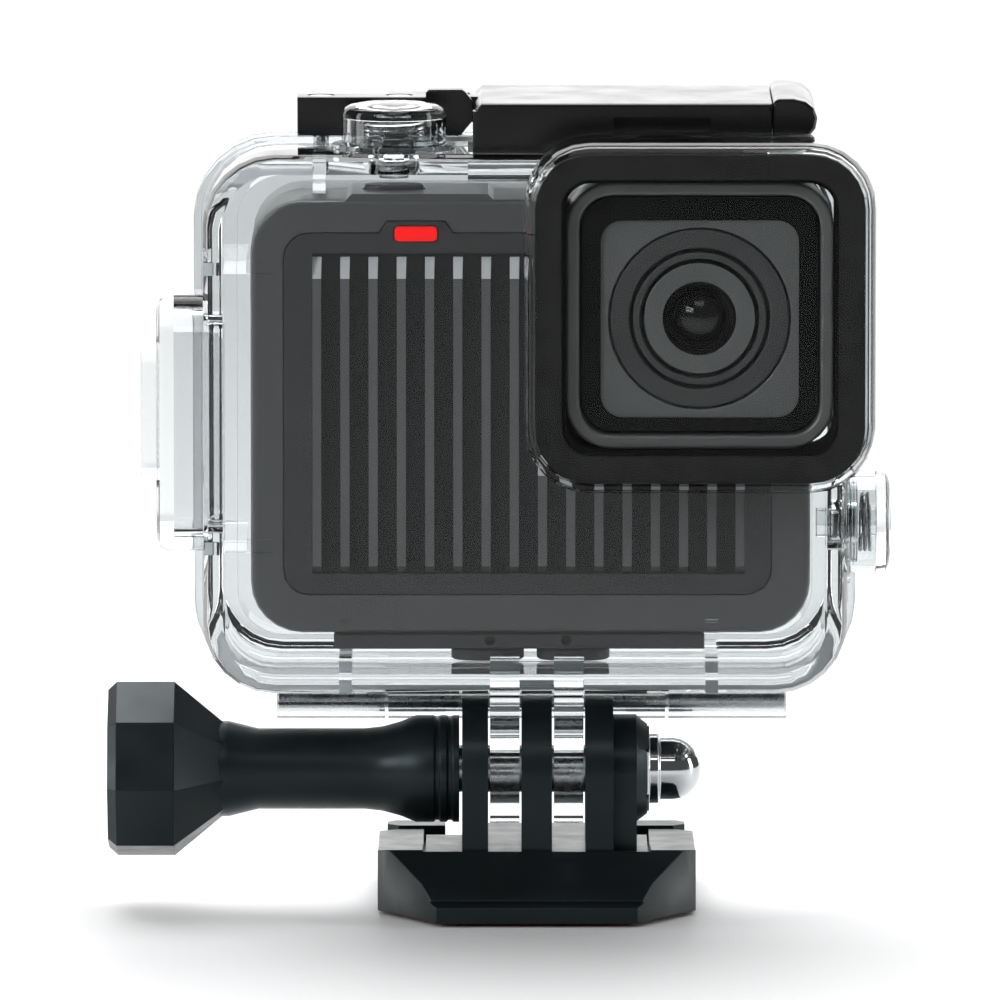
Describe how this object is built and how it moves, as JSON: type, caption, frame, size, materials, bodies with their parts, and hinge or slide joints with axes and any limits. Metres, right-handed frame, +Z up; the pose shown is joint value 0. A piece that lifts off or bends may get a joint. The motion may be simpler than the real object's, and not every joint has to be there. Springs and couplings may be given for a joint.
{
  "type": "action camera in dive housing",
  "caption": "Compact action camera in a clear sealed dive housing with a latched rear door, pivoting on a quick-release stick-on mount with a thumb screw.",
  "frame": {"origin": "on the adhesive face's plane, straight below the pivot bolt's axis and midway across the mount's prongs", "axes": "+X along the pivot bolt towards the cap nut, -Y the way the lens looks, +Z up"},
  "size_m": [0.0799, 0.0475, 0.0834],
  "materials": {
    "black_plastic": "satin",
    "latch_plastic": "glossy",
    "clear_plastic": "polished",
    "port_glass": "polished",
    "optical_glass": "polished",
    "camera_body": "soft touch",
    "camera_panel": "satin",
    "camera_button": "satin",
    "status_red": "translucent",
    "screen_glass": "polished",
    "seal_rubber": "matte",
    "gasket_silicone": "matte",
    "adhesive_foam": "matte",
    "steel": "bright",
    "chrome_nut": "polished",
    "aluminium_part": "satin",
    "matte_black": "satin",
    "circuit_board": "satin",
    "battery_case": "satin"
  },
  "bodies": {
    "base": {"adhesive_pad": "adhesive_foam", "mount_base": "black_plastic"},
    "buckle": {"quick_release_buckle": "black_plastic", "cap_nut": "chrome_nut"},
    "clip_right": {"release_clip_right": "black_plastic"},
    "clip_left": {"release_clip_left": "black_plastic"},
    "thumb_screw": {"thumb_screw_knob": "black_plastic", "pivot_bolt": "steel"},
    "housing": {"housing_front_shell": "clear_plastic", "hinge_pin": "steel", "lens_port_glass": "port_glass", "port_seal": "seal_rubber", "port_frame": "matte_black", "shutter_spring": "steel", "shutter_seal": "seal_rubber", "mode_spring": "steel", "mode_seal": "seal_rubber", "latch_bracket": "latch_plastic", "latch_pin": "steel", "bracket_screw_1": "steel", "bracket_screw_2": "steel", "camera_front_shell": "camera_body", "ribbed_front_panel": "camera_panel", "status_light_lens": "status_red", "camera_rear_shell": "camera_body", "rear_screen": "screen_glass", "side_door": "camera_body", "case_screw_1": "steel", "case_screw_2": "steel", "case_screw_3": "steel", "case_screw_4": "steel", "camera_foot": "camera_button", "folded_finger_1": "camera_button", "folded_finger_2": "camera_button", "lens_bezel": "camera_body", "lens_cover_glass": "port_glass", "lens_mask": "matte_black", "lens_plate": "camera_body", "lens_ring_outer": "camera_panel", "lens_ring_inner": "camera_panel", "lens_barrel": "matte_black", "lens_front_element": "optical_glass", "lens_rear_element": "optical_glass", "image_sensor": "circuit_board", "main_board": "circuit_board", "battery": "battery_case", "heat_spreader": "aluminium_part", "speaker": "black_plastic"},
    "door": {"housing_rear_door": "clear_plastic", "door_gasket": "gasket_silicone"},
    "latch": {"latch_lever": "latch_plastic"},
    "latch_slide": {"latch_lock": "latch_plastic"},
    "shutter_push": {"shutter_plunger": "clear_plastic", "shutter_clip": "steel"},
    "mode_push": {"mode_plunger": "clear_plastic", "mode_clip": "steel"},
    "camera_shutter": {"camera_shutter_button": "camera_button"},
    "camera_mode": {"camera_mode_button": "camera_button"}
  },
  "joints": [
    {"name": "buckle_slide", "type": "slide", "parent": "base", "child": "buckle", "axis": [0, 1, 0], "range_m": [0, 0.045]},
    {"name": "clip_right_squeeze", "type": "hinge", "parent": "buckle", "child": "clip_right", "pos_m": [0.0111, 0.0079, 0.003], "axis": [0, 0, 1], "range_deg": [0, 4], "stiffness_Nm_per_rad": 0.2, "springref_deg": -1.15},
    {"name": "clip_left_squeeze", "type": "hinge", "parent": "buckle", "child": "clip_left", "pos_m": [-0.0111, 0.0079, 0.003], "axis": [0, 0, -1], "range_deg": [0, 4], "stiffness_Nm_per_rad": 0.2, "springref_deg": -1.15},
    {"name": "thumb_screw_turn", "type": "hinge", "parent": "buckle", "child": "thumb_screw", "pos_m": [0, 0, 0.0141], "axis": [1, 0, 0], "continuous": true},
    {"name": "housing_tilt", "type": "hinge", "parent": "buckle", "child": "housing", "pos_m": [0, 0, 0.0141], "axis": [1, 0, 0], "range_deg": [-15, 60]},
    {"name": "latch_lift", "type": "hinge", "parent": "housing", "child": "latch", "pos_m": [-0.0088, 0.0074, 0.08115], "axis": [0, -1, 0], "range_deg": [0, 80]},
    {"name": "door_hinge", "type": "hinge", "parent": "housing", "child": "door", "pos_m": [-0.0012, 0.0082, 0.0201], "axis": [-1, 0, 0], "range_deg": [0, 80]},
    {"name": "latch_lock_slide", "type": "slide", "parent": "latch", "child": "latch_slide", "axis": [1, 0, 0], "range_m": [0, 0.002], "stiffness_N_per_m": 400, "springref_m": -0.001},
    {"name": "shutter_press", "type": "slide", "parent": "housing", "child": "shutter_push", "axis": [0, 0, -1], "range_m": [0, 0.0012], "stiffness_N_per_m": 900, "springref_m": -0.0008, "deforming": ["shutter_spring"]},
    {"name": "mode_press", "type": "slide", "parent": "housing", "child": "mode_push", "axis": [-1, 0, 0], "range_m": [0, 0.0012], "stiffness_N_per_m": 900, "springref_m": -0.0008, "deforming": ["mode_spring"]},
    {"name": "camera_shutter_press", "type": "slide", "parent": "housing", "child": "camera_shutter", "axis": [0, 0, -1], "range_m": [0, 0.0008], "stiffness_N_per_m": 200, "springref_m": -0.0004},
    {"name": "camera_mode_press", "type": "slide", "parent": "housing", "child": "camera_mode", "axis": [-1, 0, 0], "range_m": [0, 0.0008], "stiffness_N_per_m": 200, "springref_m": -0.0004}
  ],
  "couplings": [
    {"joint": "door_hinge", "follows": "latch_lift", "ratio": 1},
    {"joint": "clip_left_squeeze", "follows": "clip_right_squeeze", "ratio": 1},
    {"joint": "camera_shutter_press", "follows": "shutter_press", "ratio": 0.6},
    {"joint": "camera_mode_press", "follows": "mode_press", "ratio": 0.6}
  ]
}
